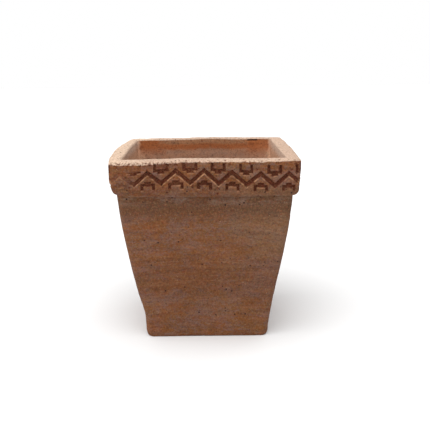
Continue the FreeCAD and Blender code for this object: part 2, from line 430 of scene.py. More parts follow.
def body_section():
    """Rows of the body's section, from the drain hole out and round."""
    edge = hole_radius + hole_round
    sole = foot_half - foot_round_depth
    rows = []
    # Underside
    for half in steps(edge, sole, coarse_row):
        square = smooth(edge, sole * squared_share, half)
        rows.append(outside_row(0, half, "under", square=square))
    # Rounded foot
    foot = arc(0, sole, foot_round_rise, foot_half, foot_steps)
    rows += [outside_row(z, half, "outside") for z, half in foot]
    # Outside of the walls, up behind the strips, and in over the top
    wall = steps(foot_round_rise, shoulder_height, body_row)
    rows += [outside_row(z, outer_half(z), "outside") for z in wall]
    shoulder = outside_row(shoulder_height, wall_half, "hidden")
    rows += run(shoulder, outside_row(lip_seam_height, wall_half, "hidden"), buried_row)
    top = outside_row(lip_seam_height + tuck / 2, wall_half - tuck / 2, "hidden")
    rows += run(top, inside_row(lip_seam_height, "hidden", -tuck), coarse_row)
    # Inside of the walls, and the cove
    rows += [inside_row(z) for z in steps(lip_seam_height, floor_top + cove, body_row)]
    rounding = arc(floor_top + cove, 0, floor_top, cove, cove_steps, upright=True)
    rows += [inside_row(z, inset=inset) for z, inset in rounding]
    # Floor
    floor_half = inside_row(floor_top, inset=cove).halves[0]
    for half in steps(floor_half, edge, floor_row):
        square = smooth(edge, floor_half * squared_share, half)
        rows.append(outside_row(floor_top, half, "inside", inner_corner, square))
    # Drain hole
    upper_edge = arc(floor_top, edge, floor_top - hole_round, hole_radius, hole_steps)
    rows += [outside_row(z, half, "hole", square=0) for z, half in upper_edge]
    hole_top = outside_row(floor_top - hole_round, hole_radius, "hole", square=0)
    rows += run(hole_top, outside_row(hole_round, hole_radius, "hole", square=0), body_row)
    lower_edge = arc(hole_round, hole_radius, 0, edge, hole_steps, upright=True)
    rows += [outside_row(z, half, "hole", square=0) for z, half in lower_edge]
    return rows


def clay_body():
    """The floor and the walls as one closed mesh."""
    points, _, zone = rings_of(body_section(), BODY_COLUMNS)
    outward = grid_normals(points)
    outside, inside = within(zone, "outside"), within(zone, "inside")
    z = points[..., 2]

    # Ridges left by wiping hands, which run round the pot, and dents
    relief = ridged(points * WIPED, *WIPING) + ridged(points, *DENTS)
    away_from_seams = smooth(0, seam_fade, lip_seam_height - z) * smooth(0, ground_fade, z)
    relief *= np.where(outside | inside, away_from_seams, 0)
    relief += np.where(inside, ridged(points, *INNER_DENTS) * away_from_seams, 0)

    # Knocks along the foot
    foot = smooth(knocks_top, knocks_full, z) * outside
    relief -= knock_depth * foot * np.clip(ridged(points, *KNOCKS) - knock_threshold, 0, 1)
    points = slumped(points + outward * relief[..., None])

    shape = points.shape[:2]
    seam = int(np.argmax(zone == "inside"))
    seam_points = seam * shape[1] + np.arange(shape[1])
    attributes = {"inside": np.broadcast_to(inside, shape)}
    return add_mesh("pot_body", points, grid_faces(*shape, True), attributes, seam_points)


# Carving: its groove, the burr along it, and the pattern, whose middle is a little above the strips' own
groove_depth, groove_wall, groove_wear = 0.0036, 0.0007, 0.0003
burr_width, burr_height = 0.0008, 0.00025
carving_pitch = 0.0444
half_pitch = carving_pitch / 2
carving_lift = 0.0009
carving_middle = (height + shoulder_height) / 2 + carving_lift
zigzag_rise, zigzag_width = 0.0187, 0.006
motif_width = 0.0232
island_width, island_reach = 0.015, 0.0130
step_width, step_reach = 0.010, 0.0057
bar_reach = 0.0091
upper_leg_reach, lower_leg_reach = 0.0224, 0.0194
far = 1.0

# The front's carving wanders, some of its motifs are narrower, and it is smeared away at its left end
wander, wander_middle, wander_length = 0.00325, 0.0485, 0.0521
spread_out, spread_middle, spread_start, spread_end = 0.0012, -0.010, 0.015, 0.065
NARROW_MOTIFS = {2: 0.92, 3: 0.89, 4: 0.95, 6: 0.88}
smear_end, smear_start, smeared_share = -0.128, -0.106, 0.24
faint_end, faint_start, faint_share = -0.106, -0.088, 0.85
faint_top = island_reach + 0.001

# The hand's unevenness in it: its wobble, the fraying of its edges, and the strength of single motifs
wobble, wobble_size, WOBBLE_SEEDS = 0.0005, 0.030, (31, 32)
FRAYING = (0.0003, 0.004, 33)
strength_low, strength_high, strength_count, strength_seed = 0.78, 1.08, 64, 60
motif_stride, side_stride = 5, 13

# The burr and its sand, which is also a painted highlight on the lower edges: their shares on upper edges, in
# the smear and along motifs, and bare patches
upper_burr_share, smeared_sand_and_highlight_share, motif_sand_and_highlight_share = 0.3, 0.35, 0.5
PATCHES, bare_patch, full_patch = (1, 0.008, 35), -0.5, 0.4

# Islands of the upper motifs pressed down by the tool, from the front's right to its left, and painted darker
# there, painted shade on the islands
island_press, press_start, press_end = 0.0010, -0.035, 0.125
press_outer, press_inner = 0.0006, -0.0008
other_sides_press_share, pressed_shade_share = 0.5, 0.6


def box_distance(across, up, left, right, bottom, top):
    """Distance from places to a rectangle, below zero inside it."""
    out_across = np.abs(across - (left + right) / 2) - (right - left) / 2
    out_up = np.abs(up - (bottom + top) / 2) - (top - bottom) / 2
    outside = np.hypot(np.clip(out_across, 0, None), np.clip(out_up, 0, None))
    return outside + np.minimum(np.maximum(out_across, out_up), 0)


def carving_distance(u, v, side):
    """Distances to the nearest groove, with its motif's number, to the zigzag and to an upper island."""
    fold = np.abs((u / half_pitch + 1) % 2 - 1)
    line = zigzag_rise / 2 - fold * zigzag_rise
    slope = math.atan2(zigzag_rise, half_pitch)
    zigzag = np.abs(v - line) * math.cos(slope) - zigzag_width / 2
    number = np.round(u / half_pitch)
    nearest = np.full(u.shape, far)
    island = np.full(u.shape, far)
    motif_of = np.zeros(u.shape)
    for offset in (-1, 0, 1):
        k = number + offset
        upper = k % 2 == 1
        up = np.where(upper, v, -v)
        reach = np.where(upper, upper_leg_reach, lower_leg_reach)
        across = np.abs(u - k * half_pitch)
        for narrow, share in NARROW_MOTIFS.items():
            across = np.where((side == 0) & (k == narrow), across / share, across)
        leg = box_distance(across, up, island_width / 2, motif_width / 2, bar_reach, reach)
        bar = box_distance(across, up, -motif_width / 2, motif_width / 2, bar_reach, island_reach)
        step = box_distance(across, up, -step_width / 2, step_width / 2, step_reach, island_reach)
        motif = np.minimum(np.minimum(leg, bar), step)
        closer = motif < nearest
        nearest = np.where(closer, motif, nearest)
        motif_of = np.where(closer, k, motif_of)
        between_legs = box_distance(across, up, 0, island_width / 2, island_reach, reach)
        island = np.where(upper, np.minimum(island, between_legs), island)
    return np.minimum(zigzag, nearest), motif_of, zigzag, island


def carved_depth(points, along, side):
    """How deep each point of the strips' face is cut, how much darker cut clay and painted shade shows there,
    and how much pale sand and painted highlight.
    """
    wobble_u, wobble_v = (lumps(points, wobble, wobble_size, seed) for seed in WOBBLE_SEEDS)
    front = side == 0
    spread = spread_out * smooth(spread_start, spread_end, np.abs(along - spread_middle))
    sunk = wander * np.sin((along - wander_middle) / wander_length)
    u = along + wobble_u + np.where(front, spread, 0)
    v = points[..., 2] - carving_middle + wobble_v + np.where(front, sunk, 0)
    distance, motif, zigzag, island = carving_distance(u, v, side)
    by_zigzag = zigzag <= distance
    distance = distance - groove_wear + lumps(points, *FRAYING)
    depth = groove_depth * smooth(0, groove_wall, -distance)
    rng = np.random.default_rng(SEED + strength_seed)
    strength = rng.uniform(strength_low, strength_high, strength_count)
    depth *= strength[(motif.astype(int) * motif_stride + side * side_stride) % strength_count]
    clear = smeared_share + (1 - smeared_share) * smooth(smear_end, smear_start, along)
    faint = smooth(bar_reach, faint_top, v) * smooth(faint_start, faint_end, along)
    clear = np.where(front, clear * (1 - faint_share * faint), 1)
    cut = smooth(groove_wall / 2, -groove_wall / 2, distance) * clear
    # The tool left a thin burr, mostly along the lower edges, and sand caught there; its pale colour is also
    # a painted highlight where those edges face the light
    above = carving_distance(u, v + burr_width, side)[0]
    lower_edge = smooth(0, burr_width, distance + groove_wear - above)
    burr_share = upper_burr_share + (1 - upper_burr_share) * lower_edge
    burr = hump(distance, burr_share, burr_width / 2, burr_width)
    patchy = smooth(bare_patch, full_patch, ridged(points, *PATCHES))
    # Pale sand and painted highlight along the lower lips of the cuts
    lip = burr * lower_edge * patchy * (smeared_sand_and_highlight_share + (1 - smeared_sand_and_highlight_share) * clear)
    lip = lip * np.where(by_zigzag, 1, motif_sand_and_highlight_share)
    press = np.where(front, smooth(press_end, press_start, along), other_sides_press_share)
    pressed = smooth(press_outer, press_inner, island) * press
    depth = np.maximum(depth, island_press * pressed)
    # Painted shade on the pressed islands, in the same dark as the grooves
    cut = np.maximum(cut, pressed_shade_share * pressed * clear)
    return depth * clear - burr_height * burr, cut, lip


# The rim: where the carving fades out at the crest and the foot of the strips, and the clay's relief
carving_top, carving_top_fade = height - crest_round / 2, 0.0025
carving_bottom, carving_bottom_full = shoulder_height + 0.004, shoulder_height + 0.011
RIM_DENTS, RIM_ROUGHNESS = (0.00045, 0.022, 41), (0.00018, 0.005, 43)
rim_seam_fade = 0.006

# Pits on the face, on the crest and, in clusters, along its edge, densest at the front's left
pit_count, crest_pit_count, edge_pit_count, pit_seed = 180, 60, 1100, 70
PIT_SIZES = (0.0007, 0.0016)
EDGE_PIT_SIZES = (0.0005, 0.0011)
crest_bottom, edge_bottom, edge_top = height - 0.008, height - 0.0062, height - 0.0018
CLUSTERS, cluster_threshold, crowd_limit = (1, 0.030, 49), 0.1, 0.6
front_crowd, front_left_crowd = 0.07, 0.43
crowd_start, crowd_end = -0.020, -0.060
pit_depth_share = 0.8
pit_cells = 4
# The depth at which a pit is painted fully dark, painted shade in the pit
dark_pit_depth = 0.0006

# A slit under the lip at the back, where the clay wasn't smeared shut; it is painted dark, painted shade in
# the slit
slit_left, slit_right, slit_end = 0.081, 0.101, 0.0009
SLIT = (0.0030, height - 0.0036, 0.0009)

# The worn foot of the left strip, and the crest, which was levelled by hand
worn_corner = 0.0032
worn_start, worn_full = rim_half * 0.80, rim_half * 0.97
worn_top = height - 0.030
LEVEL = np.array([1, 1, 0])
LEVELLED = (0.0009, 0.060, 47)
levelled_low, levelled_high = height - 0.030, height - 0.004

# Sand on the crest: how far down its ragged edge lies, further at the left, and where it thins
sand_drop, sand_drop_left = 0.0034, 0.0022
sand_left_start, sand_left_end = -0.020, -0.090
RAGGED = (0.0008, 0.007, 45)
sand_blur = 0.0010
thin_share, thin_start, thin_end = 0.3, height - 0.0002, height - 0.0030
lip_sand_drop, lip_sand_drop_left = 0.0030, 0.0012
lip_sand_full, lip_sand_full_left = 0.0010, 0.0004
diagonal_blur = 0.010


def rim_section():
    """Rows of the rim's section, from the inside of the lip over the crest and down the strips."""
    # Up the inside of the lip and over its edge
    rows = [inside_row(z, "lip") for z in steps(lip_seam_height, height - widest_round, lip_row)]
    lip_round = arc(height - widest_round, 0, height, 0, lip_steps, upright=True)
    rows += [inside_row(z, "lip", -lip_inset(z)) for z, _ in lip_round]
    # Across the top, a little crowned, and round the outer edge
    crest_half = rim_half - crest_round
    lip_edge = inside_row(height, "top", -lip_inset(height))
    crown = run(lip_edge, outside_row(height, crest_half, "top", RIM_CORNERS), crown_row)
    for k, row in enumerate(crown):
        t = k / len(crown)
        row.z += crown_rise * 4 * t * (1 - t)
    crest_edge = arc(height, crest_half, height - crest_round, rim_half, crest_steps)
    rows += crown + [outside_row(z, half, "top", RIM_CORNERS) for z, half in crest_edge]
    # Down the carved face, and round the foot of the strip
    face_end = shoulder_height + strip_foot_rise
    face = steps(height - crest_round, face_end, rim_row)
    rows += [outside_row(z, strip_half(z), "face", RIM_CORNERS) for z in face]
    face_half = strip_half(face_end)
    under_half = face_half - strip_foot_depth
    foot = arc(face_end, face_half, shoulder_height, under_half, strip_foot_steps, upright=True)
    rows += [outside_row(z, half, "foot", RIM_CORNERS) for z, half in foot]
    # Under the strip, and back up inside the clay
    under = outside_row(shoulder_height, under_half, "foot")
    luted = outside_row(shoulder_height, wall_half - luting, "hidden")
    luted_top = outside_row(lip_seam_height - tuck * 2, wall_half - luting, "hidden")
    lip_end = inside_row(lip_seam_height - tuck, "hidden", -tuck)
    rows += run(under, luted, strip_base_row) + run(luted, luted_top, coarse_row)
    return rows + run(luted_top, lip_end, coarse_row) + [lip_end]


def crowding(point, side):
    """How readily pits form at a point of the crest's edge."""
    if side == 0:
        return front_crowd + smooth(crowd_start, crowd_end, point[0]) * front_left_crowd
    return lumps(point, *CLUSTERS) - cluster_threshold


def rim_pits(points, zone, side):
    """How deep the rim is pitted at each point."""
    z = points[..., 2]
    columns = points.shape[1]
    pits = np.zeros(z.shape)
    rng = np.random.default_rng(SEED + pit_seed)
    face, crest = (np.flatnonzero(within(zone, "face", end)) for end in ("foot", "top"))
    crest = crest[z[crest, 0] > crest_bottom]
    edge = crest[(z[crest, 0] < edge_top) & (z[crest, 0] > edge_bottom)]
    families = [
        (pit_count, face, PIT_SIZES, False),
        (crest_pit_count, crest[len(crest) // 2 :], PIT_SIZES, False),
        (edge_pit_count, edge, EDGE_PIT_SIZES, True),
    ]
    for count, allowed, pit_sizes, clustered in families:
        for _ in range(count):
            row, column = rng.choice(allowed), rng.integers(columns)
            size = rng.uniform(*pit_sizes)
            middle = points[row, column]
            if clustered and crowding(middle, side[row, column]) < rng.uniform(0, crowd_limit):
                continue
            near_rows = np.arange(max(row - pit_cells, 0), min(row + pit_cells + 1, len(zone)))
            near_columns = np.arange(column - pit_cells, column + pit_cells + 1) % columns
            near = np.ix_(near_rows, near_columns)
            gap = np.linalg.norm(points[near] - middle, axis=2)
            pits[near] += hump(gap, size * pit_depth_share, 0, size)
    return pits


def back_slit(points, zone):
    """How deep the slit is at each point."""
    x, y, z = np.moveaxis(points, -1, 0)
    slit = hump(z, *SLIT) * within(zone, "lip") * (y > 0)
    slit = slit * smooth(slit_left - slit_end, slit_left + slit_end, x)
    return slit * smooth(slit_right + slit_end, slit_right - slit_end, x)


def crest_sand(points, z, zone):
    """How much sand lies at each point of the crest and over the lip's inner edge, by its row's height."""
    x, y = points[..., 0], points[..., 1]
    sanded_to = height - sand_drop - sand_drop_left * smooth(sand_left_start, sand_left_end, x)
    sanded_to = sanded_to + ridged(points, *RAGGED)
    on_top = within(zone, "top", "face") * smooth(sanded_to - sand_blur, sanded_to + sand_blur, z)
    on_top = on_top * (1 - thin_share * smooth(thin_start, thin_end, z))
    left = smooth(-diagonal_blur, diagonal_blur, -x - np.abs(y))
    sand_end = height - lip_sand_drop - lip_sand_drop_left * left
    sand_start = height - lip_sand_full + lip_sand_full_left * left
    on_lip = within(zone, "lip") * smooth(sand_end, sand_start, z)
    return np.clip(on_top + on_lip, 0, 1)


def clay_rim():
    """The carved strips and the top of the lip as one closed mesh."""
    points, along, zone = rings_of(rim_section(), RIM_COLUMNS)
    shape = points.shape[:2]
    outward = grid_normals(points)
    side = np.broadcast_to(np.arange(shape[1]) // (shape[1] // 4), shape)
    z = points[..., 2]
    in_lip, on_face = within(zone, "lip"), within(zone, "face", "foot", "top")

    carved = smooth(0, carving_top_fade, carving_top - z) * smooth(carving_bottom, carving_bottom_full, z)
    depth, cut, sand_and_painted_highlight = (value * on_face * carved for value in carved_depth(points, along, side))

    relief = ridged(points, *RIM_DENTS) + ridged(points, *RIM_ROUGHNESS)
    relief = relief * (on_face | in_lip) * np.where(in_lip, smooth(0, rim_seam_fade, z - lip_seam_height), 1)
    pits = rim_pits(points, zone, side) + back_slit(points, zone)
    worn = smooth(worn_start, worn_full, -points[..., 0]) * smooth(worn_top, shoulder_height, z)
    worn = worn_corner * worn * within(zone, "face", "foot")
    points = points + outward * (relief - depth - pits - worn)[..., None]

    points[..., 2] += smooth(levelled_low, levelled_high, z) * ridged(points * LEVEL, *LEVELLED)
    points = slumped(points)

    attributes = {
        "inside": np.broadcast_to(in_lip, shape),
        # groove: darker cut clay with painted shade in the grooves, and painted shade in the pits and the
        # back slit
        "groove": np.clip(cut + np.clip(pits / dark_pit_depth, 0, 1), 0, 1),
        "crest": crest_sand(points, z, zone),
        "lip": sand_and_painted_highlight,
    }
    return add_mesh("pot_rim", points, grid_faces(*shape, True), attributes, np.arange(shape[1]))


# The coils, smeared over the inside seams: how proud they stand, how far they sink in at their
# edges, how far their backs lie in the clay, and their relief
coil_round = 0.021
coil_proud, coil_sink, coil_root = 0.0011, 0.0005, 0.003
CORNER_DENTS, FLOOR_DENTS = (0.00025, 0.009, 53), (0.00025, 0.012, 57)

# Upright coils: where they start and fade, how many columns they spread over, and their ragged edges
coil_bottom, coil_top, coil_fade = floor_top + 0.004, height - 0.014, 0.040
coil_spread = 10
coil_edge, RAGGED_EDGE = 0.78, (0.14, 0.020, 51)
coils_apart, edges_apart = 0.1, 0.05
UPRIGHT = np.array([1, 1, 0.5])

# Floor coils: their radius, how far they run on past a quarter turn and fade, and their corners
floor_coil_radius = 0.015
floor_coil_rows = 26
coil_overrun, overrun_fade = 0.25, 0.05
corner_easing = 0.4


def part_ring(row, pick, z, corners=None):
    """Points and outward directions of part of a row's ring, at a height."""
    plan, facing, _ = plan_ring(row, corners=corners)
    return np.column_stack([plan[pick], np.full(len(pick), z)]), facing[pick]


def dented(points, field):
    """A grid of points, moved along its normals by a field."""
    return points + grid_normals(points, closed_rows=False) * field[..., None]


def coil_skin(name, front, back):
    """A thin closed skin of clay, in which a row of the front and one of the back, reversed, make a ring."""
    points = slumped(np.concatenate([front, back[:, ::-1]], axis=1))
    rows, columns = points.shape[:2]
    k = np.arange(columns // 2 - 1)
    cap = np.stack([k, k + 1, columns - 2 - k, columns - 1 - k], axis=1)
    faces = np.concatenate([grid_faces(rows, columns, False), cap[:, ::-1], cap + (rows - 1) * columns])
    return add_mesh(name, points, faces, {"inside": np.ones((rows, columns))})


def corner_coil(i, name):
    """The coil in upright corner i, over the seam between two walls."""
    spread = BODY_COLUMNS[1] + coil_spread
    pick = (i * body_side_columns + np.arange(-spread, spread + 1)) % (4 * body_side_columns)
    reach = np.linspace(-1, 1, len(pick))
    fronts, backs = [], []
    for z in np.append(steps(coil_bottom, coil_top, body_row), coil_top):
        row = inside_row(z)
        rounding = row.corners + (coil_round - row.corners) * smooth(coil_top, coil_top - coil_fade, z)
        front, facing = part_ring(row, pick, z, rounding)
        edges = np.array([[z, i * coils_apart, 0.0], [z, i * coils_apart, edges_apart]])
        edge = coil_edge + lumps(edges, *RAGGED_EDGE)
        proud = np.where(reach < 0, smooth(1.0, edge[0], -reach), smooth(1.0, edge[1], reach))
        lift = coil_proud * proud * smooth(0, coil_fade, coil_top - z) - coil_sink
        front[:, :2] -= facing * lift[:, None]
        fronts.append(front)
        backs.append(part_ring(inside_row(z, inset=-coil_root), pick, z)[0])
    front = np.array(fronts)
    return coil_skin(name, dented(front, ridged(front * UPRIGHT, *CORNER_DENTS)), np.array(backs))


def floor_coil(i, name):
    """The coil in the seam between the floor and wall i."""
    pick = (i * body_side_columns + np.arange(body_side_columns + 1)) % (4 * body_side_columns)
    wall = inner_half(coil_foot)
    bows = BOWS * foot_bow_share
    fronts, backs = [], []
    for angle in np.linspace(-coil_overrun, QUARTER + coil_overrun, floor_coil_rows):
        turned = np.clip(angle, 0, QUARTER)
        half = wall - floor_coil_radius * (1 - math.cos(turned))
        z = floor_top + floor_coil_radius * (1 - math.sin(turned))
        along_wall = max(0, -angle) * floor_coil_radius
        along_floor = max(0, angle - QUARTER) * floor_coil_radius
        fade = smooth(-coil_overrun, overrun_fade, angle)
        fade = fade * smooth(QUARTER + coil_overrun, QUARTER - overrun_fade, angle)
        lift = coil_proud * fade - coil_sink
        half_here = half - along_floor - lift * math.cos(turned)
        z_here = z + along_wall + lift * math.sin(turned)
        row = Row(z, half_here, bows, coil_round - (wall - half) * corner_easing, "inside")
        root = Row(z, half + coil_root, bows, inner_corner, "inside")
        fronts.append(part_ring(row, pick, z_here)[0])
        backs.append(part_ring(root, pick, z - coil_root)[0])
    front = np.array(fronts)
    front = dented(front, ridged(front, *FLOOR_DENTS))
    return coil_skin(name, front.swapaxes(0, 1), np.array(backs).swapaxes(0, 1))


# The clay's noises: the size of their lumps, their detail, roughness and distortion, and how they are
# stretched along X, Y and Z and arched over the middle of each side
NOISES = {
    "clouds": (0.045, 5, 0.6, 0.4),
    "dull": (0.055, 5, 0.62, 0.5, (0.7, 0.7, 1.2)),
    "rosy": (0.030, 5, 0.62, 0.6, (0.5, 0.5, 1.3)),
    "orange": (0.024, 5, 0.6, 0.8, (0.45, 0.45, 1.5)),
    "lilac": (0.022, 5, 0.65, 0.6, (-0.5, 0.5, 1.3)),
    "fine tone": (0.0022, 4, 0.62, 0.3, (0.7, -0.7, 1.2)),
    "middle tone": (0.0070, 4, 0.62, 0.3, (0.7, -0.7, 1.2)),
    "broad tone": (0.036, 4, 0.62, 0.3, (0.7, -0.7, 1.2)),
    "weathering": (0.040, 4),
    "broad streaks": (0.0085, 3, 0.5, 0.7, (0.12, 0.12, 1.0, 0.5)),
    "fine streaks": (0.0034, 4, 0.6, 0.5, (0.10, 0.10, 1.0, 0.5)),
    "waves": (0.030, 3),
    "lime": (0.022, 5, 0.7, 0.5, (0.6, 0.6, 1.5)),
    "stain": (0.012, 4, 0.6),
    "sand": (0.006, 4, 0.7),
    "coarse sand": (0.004, 4, 0.7),
    "speckle": (0.0016, 3, 0.7),
    "grain": (0.0036, 4, 0.65),
    "rusty": (0.0028, 3, 0.6, 0.0, (1.3, 1.3, 1.3)),
    "mossy": (0.0030, 3, 0.6, 0.0, (-1.1, 1.1, 1.1)),
    "roughness": (0.010, 4),
    "bumps": (0.0035, 5, 0.65),
}
usual_roughness = 0.55

# Round specks: how far apart their cells are, their size, and the share of cells that has one
SPECKS = {"rust spot": (0.0120, 0.0034, 0.4), "pit": (0.0078, 0.0017, 0.6), "grog": (0.006, 0.0009, 0.4)}
speck_edge = 0.04

# Fields that noise swings up and down: the field, the noise and how far
SWINGS = {
    "drifting x": ("x", "weathering", 0.16),
    "drifting z": ("z", "weathering", 0.16),
    "wavy z": ("z", "waves", 0.010),
    "wavy out": ("out", "waves", 0.060),
    "ragged crest": ("crest", "sand", 1.4),
}
opening_middle = -0.004
broad_streaks_share = 0.55
inner_lime_share = 0.5

# Places: fields and the values over which the place comes and, where there are four, goes again
UNDER_RIM = {"z": (0.236, 0.252, 0.256, 0.262), "outside": None}
TIDE = {"wavy z": (0.293, 0.300, 0.304, 0.310), "out": (0.131, 0.126)}
STAINED_CORNERS = {"wavy z": (0.280, 0.304), "wavy out": (0.070, 0.094), "out": (0.131, 0.124)}
SANDED = {"ragged crest": (0.25, 0.75), "crest": (0.02, 0.40)}
CLOUDED = {"clouds": (0.35, 0.68)}
ROUGHER = {"roughness": (0.2, 0.8)}

# The layers of the clay's colour: each as it shows on a screen, its share, and its place
SMOKY, OCHRE = ((109, 85, 79), (0.50, 0.64)), ((115, 65, 20), (0.50, 0.36))
TONE_SHARES = {"fine tone": 0.70, "middle tone": 0.52, "broad tone": 0.50}
CLAY_LAYERS = [
    # Dull, rosy, orange and lilac patches
    ((110, 82, 52), 0.65, {"dull": (0.47, 0.64)}),
    ((126, 78, 62), 0.60, {"rosy": (0.50, 0.66)}),
    ((132, 70, 36), 0.60, {"orange": (0.53, 0.70)}),
    ((122, 92, 82), 0.45, {"lilac": (0.52, 0.68)}),
    # Smoky and ochre tones
    *[(rgb, share, {tone: reach}) for tone, share in TONE_SHARES.items() for rgb, reach in (SMOKY, OCHRE)],
    # A darker zone half way down the outside, and the upper part, greyer towards the right
    ((84, 48, 30), 0.30, {"z": (0.045, 0.090, 0.120, 0.170), "outside": None}),
    (
        (116, 90, 66),
        0.55,
        {"z": (0.285, 0.262), "drifting x": (-0.01, 0.09), "drifting z": (0.09, 0.20), "outside": None},
    ),
    # Streaks of slip from wiping, and darker ones between
    ((154, 106, 74), 0.22, {"streaks": (0.50, 0.64)}),
    ((80, 46, 28), 0.36, {"streaks": (0.50, 0.36)}),
    # Painted shade on the outside just under the rim, where the strips overhang it, and on the rounded foot
    # of the strips
    ((82, 54, 35), 0.78, {"z": (0.205, 0.238, 0.247, 0.260), "outside": None}),
    ((78, 40, 20), 0.24, {"z": (0.256, 0.261, 0.267, 0.280), "outside": None}),
    # Paler clay inside, duller under the lip, and grey lime
    ((204, 156, 126), 0.60, {"inside": None}),
    ((174, 122, 80), 0.60, {"wavy z": (0.302, 0.307), "inside": None}),
    ((128, 108, 96), 0.70, {"lime": (0.45, 0.66), "limy": None}),
    # Bloom on the inner sides; painted light on the upper inner sides, which stand in shade; orange stains;
    # and a crust on the side lips, partly painted light
    (
        (224, 182, 148),
        0.80,
        {"lime": (0.25, 0.55), "wavy out": (0.112, 0.130), "z": (0.200, 0.290), "inside": None},
    ),
    # Painted light: a pale layer on the upper inner side walls, lightening them where they stand in shade
    ((222, 170, 136), 0.42, {"out": (0.124, 0.131), "inside": None}),
    ((168, 93, 44), 0.85, {"stain": (0.15, 0.45), "stained": None, "inside": None}),
    # A pale crust on the side lips, made paler still as painted light where the tops of the inner sides get
    # little light
    ((230, 206, 186), 0.80, {"out": (0.126, 0.134), "wavy z": (0.295, 0.309), "inside": None}),
]
SAND_RGB = (200, 173, 152)
SAND_LAYERS = [
    # Paler at the left, with coarse grains
    ((218, 192, 168), 1.00, {"x": (-0.085, -0.135)}),
    ((158, 130, 110), 0.60, {"coarse sand": (0.50, 0.64)}),
]
SURFACE_LAYERS = [
    # Darker cut clay and painted shade in the grooves, painted shade in the pits, and pale sand with a
    # painted highlight along the lips of the cuts
    ((80, 29, 9), 0.93, {"groove": None}),
    ((204, 152, 112), 0.80, {"lip": None}),
    # Grain, burnt-out pits and specks of grog
    ((140, 64, 40), 0.32, {"rusty": (0.48, 0.66)}),
    ((106, 88, 54), 0.32, {"mossy": (0.50, 0.68)}),
    ((162, 116, 80), 0.24, {"grain": (0.50, 0.70)}),
    ((60, 36, 26), 0.50, {"grain": (0.50, 0.30)}),
    ((182, 136, 102), 0.34, {"speckle": (0.55, 0.75)}),
    ((72, 44, 32), 0.50, {"speckle": (0.45, 0.28)}),
    ((110, 52, 26), 0.35, {"rust spot": None}),
    ((44, 22, 16), 0.90, {"pit": None}),
    ((190, 150, 120), 0.50, {"grog": None}),
]
least_roughness, roughness_spread, specular = 0.82, 0.12, 0.25

# Bumps: the field, how high it stands and how strongly it shows
BUMPS = {"streaks": (0.0012, 0.5), "bumps": (0.0008, 0.55), "speckle": (0.0004, 0.5), "raised": (0.0008, 0.8)}


def linear(red, green, blue):
    """A colour given as it shows on a screen, 0 to 255, as the light it stands for by the sRGB curve."""
    values = [channel / 255 for channel in (red, green, blue)]
    values = [v / 12.92 if v <= 0.04045 else ((v + 0.055) / 1.055) ** 2.4 for v in values]
    return (*values, 1.0)


